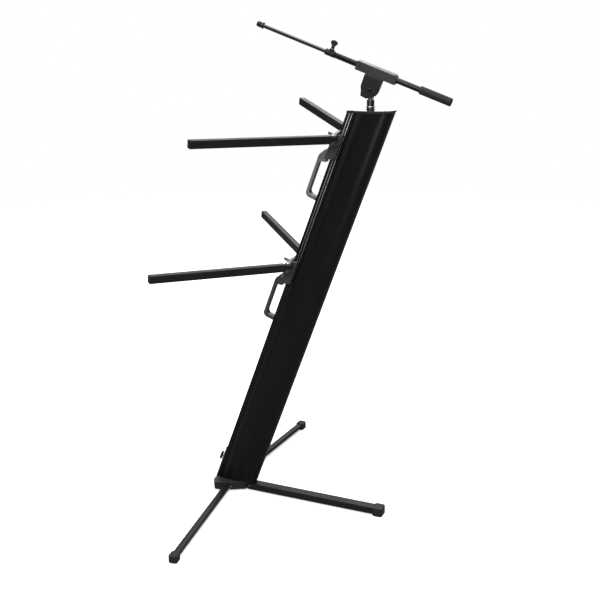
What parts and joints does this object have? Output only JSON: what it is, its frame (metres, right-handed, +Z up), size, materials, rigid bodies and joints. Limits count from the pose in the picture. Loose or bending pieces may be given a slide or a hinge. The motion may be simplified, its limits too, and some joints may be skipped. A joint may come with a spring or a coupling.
{
  "type": "column keyboard stand",
  "caption": "Leaning column keyboard stand on folding legs, with sliding carriages, splayed arms, grip levers and a telescoping microphone boom.",
  "frame": {"origin": "on the floor under the middle of the stand's bounding box", "axes": "+Z up, +Y towards the audience (the column leans that way), the player at -Y, +X across the stand to the left in the names"},
  "size_m": [0.9254, 0.6922, 1.3824],
  "materials": {
    "satin_black": "black anodised, satin",
    "gloss_black": "gloss black paint",
    "powder_black": "black powder coat, satin",
    "cast_black": "cast, black paint",
    "cast_grey": "cast, dark grey paint",
    "matte_black": "matte black moulding",
    "clamp_grey": "grey moulding",
    "lever_grey": "cast, grey satin",
    "lever_dark": "cast, dark grey satin",
    "rubber": "matte",
    "chrome": "polished",
    "bright_steel": "bright",
    "zinc": "zinc plated",
    "zinc_dark": "blackened"
  },
  "bodies": {
    "stand": {"column": "satin_black", "top_cap": "gloss_black", "top_insert": "cast_grey", "middle_brace": "cast_grey", "face_screw_upper": "zinc", "face_screw_lower": "zinc", "base_hub": "cast_black", "foot_bracket": "satin_black", "bracket_screw": "zinc", "pin_spring": "zinc", "mic_post": "chrome", "post_ring": "chrome", "leg_left_pin": "zinc", "leg_right_pin": "zinc", "leg_rear_pin": "zinc"},
    "upper_carriage_body": {"upper_carriage": "cast_grey", "upper_clamp_shoe": "zinc", "upper_draw_washer": "bright_steel", "upper_lever_pin": "zinc", "upper_arm_left_pin": "zinc", "upper_arm_right_pin": "zinc"},
    "upper_draw_bolt_body": {"upper_draw_bolt": "chrome"},
    "upper_lever": {"upper_lock_lever": "lever_grey"},
    "upper_left_arm": {"upper_arm_left": "powder_black", "upper_arm_left_cap": "matte_black"},
    "upper_right_arm": {"upper_arm_right": "powder_black", "upper_arm_right_cap": "matte_black"},
    "lower_carriage_body": {"lower_carriage": "cast_grey", "lower_clamp_shoe": "zinc", "lower_draw_washer": "bright_steel", "lower_lever_pin": "zinc", "lower_arm_left_pin": "zinc", "lower_arm_right_pin": "zinc"},
    "lower_draw_bolt_body": {"lower_draw_bolt": "chrome"},
    "lower_lever": {"lower_lock_lever": "lever_dark"},
    "lower_left_arm": {"lower_arm_left": "powder_black", "lower_arm_left_cap": "matte_black"},
    "lower_right_arm": {"lower_arm_right": "powder_black", "lower_arm_right_cap": "matte_black"},
    "left_leg": {"leg_left": "powder_black", "leg_left_foot": "rubber"},
    "right_leg": {"leg_right": "powder_black", "leg_right_foot": "rubber"},
    "rear_leg": {"leg_rear": "powder_black", "leg_rear_foot": "rubber"},
    "pull_pin_body": {"pull_pin": "zinc", "pull_pin_knob": "matte_black"},
    "boom_swivel": {"swivel_head": "zinc"},
    "boom_head": {"clutch_housing": "matte_black", "clutch_bolt": "zinc", "boom_clamp": "clamp_grey"},
    "clutch_knob_body": {"clutch_knob": "matte_black"},
    "boom_tube_body": {"boom_tube": "gloss_black", "boom_grip": "rubber", "rod_collar": "matte_black", "collar_washer": "bright_steel"},
    "boom_rod_body": {"boom_rod": "gloss_black", "mic_adapter": "zinc_dark"},
    "collar_screw_body": {"collar_thumb_screw": "matte_black"}
  },
  "joints": [
    {"name": "upper_carriage_slide", "type": "slide", "parent": "stand", "child": "upper_carriage_body", "axis": [0, 0.3361, 0.9418], "range_m": [-0.08, 0.05]},
    {"name": "upper_draw_bolt_turn", "type": "hinge", "parent": "upper_carriage_body", "child": "upper_draw_bolt_body", "pos_m": [0, 0.09923, 1.0735], "axis": [0, -0.9418, 0.3361], "continuous": true},
    {"name": "upper_lever_swing", "type": "hinge", "parent": "upper_carriage_body", "child": "upper_lever", "pos_m": [0, 0.0129, 1.05175], "axis": [-1, 0, 0], "range_deg": [0, 70]},
    {"name": "upper_left_arm_swing", "type": "hinge", "parent": "upper_carriage_body", "child": "upper_left_arm", "pos_m": [0.062, 0.04965, 1.09672], "axis": [0, -0.0849, -0.9964], "range_deg": [0, 47]},
    {"name": "upper_right_arm_swing", "type": "hinge", "parent": "upper_carriage_body", "child": "upper_right_arm", "pos_m": [-0.062, 0.04965, 1.09672], "axis": [0, 0.0849, 0.9964], "range_deg": [0, 47]},
    {"name": "lower_carriage_slide", "type": "slide", "parent": "stand", "child": "lower_carriage_body", "axis": [0, 0.3361, 0.9418], "range_m": [-0.3, 0.08]},
    {"name": "lower_draw_bolt_turn", "type": "hinge", "parent": "lower_carriage_body", "child": "lower_draw_bolt_body", "pos_m": [0, -0.02929, 0.71335], "axis": [0, -0.9418, 0.3361], "continuous": true},
    {"name": "lower_lever_swing", "type": "hinge", "parent": "lower_carriage_body", "child": "lower_lever", "pos_m": [0, -0.11563, 0.6916], "axis": [-1, 0, 0], "range_deg": [0, 70]},
    {"name": "lower_left_arm_swing", "type": "hinge", "parent": "lower_carriage_body", "child": "lower_left_arm", "pos_m": [0.062, -0.07888, 0.73656], "axis": [0, -0.0849, -0.9964], "range_deg": [0, 47]},
    {"name": "lower_right_arm_swing", "type": "hinge", "parent": "lower_carriage_body", "child": "lower_right_arm", "pos_m": [-0.062, -0.07888, 0.73656], "axis": [0, 0.0849, 0.9964], "range_deg": [0, 47]},
    {"name": "left_leg_fold", "type": "hinge", "parent": "stand", "child": "left_leg", "pos_m": [0.038, -0.28959, 0.0135], "axis": [-0.1011, 0.9949, 0], "range_deg": [0, 90]},
    {"name": "right_leg_fold", "type": "hinge", "parent": "stand", "child": "right_leg", "pos_m": [-0.038, -0.28959, 0.0135], "axis": [-0.1011, -0.9949, 0], "range_deg": [0, 90]},
    {"name": "rear_leg_fold", "type": "hinge", "parent": "stand", "child": "rear_leg", "pos_m": [0, -0.22679, 0.0135], "axis": [-1, 0, 0], "range_deg": [0, 90]},
    {"name": "pull_pin_slide", "type": "slide", "parent": "stand", "child": "pull_pin_body", "axis": [0, -0.9418, 0.3361], "range_m": [0, 0.006], "stiffness_N_per_m": 500, "springref_m": -0.01, "deforming": ["pin_spring"]},
    {"name": "boom_swivel_turn", "type": "hinge", "parent": "stand", "child": "boom_swivel", "pos_m": [0, 0.12971, 0], "axis": [0, 0, 1], "continuous": true},
    {"name": "boom_tilt", "type": "hinge", "parent": "boom_swivel", "child": "boom_head", "pos_m": [0, 0.12971, 1.222], "axis": [1, 0, 0], "range_deg": [-20, 20]},
    {"name": "clutch_knob_turn", "type": "hinge", "parent": "boom_head", "child": "clutch_knob_body", "pos_m": [0, 0.12971, 1.222], "axis": [-1, 0, 0], "continuous": true},
    {"name": "boom_tube_slide", "type": "slide", "parent": "boom_head", "child": "boom_tube_body", "axis": [0, -0.9494, 0.314], "range_m": [-0.06, 0.055]},
    {"name": "boom_rod_slide", "type": "slide", "parent": "boom_tube_body", "child": "boom_rod_body", "axis": [0, -0.9494, 0.314], "range_m": [-0.165, 0.08]},
    {"name": "collar_screw_turn", "type": "hinge", "parent": "boom_tube_body", "child": "collar_screw_body", "pos_m": [0, 0.01944, 1.30726], "axis": [0, 0.314, 0.9494], "continuous": true}
  ]
}
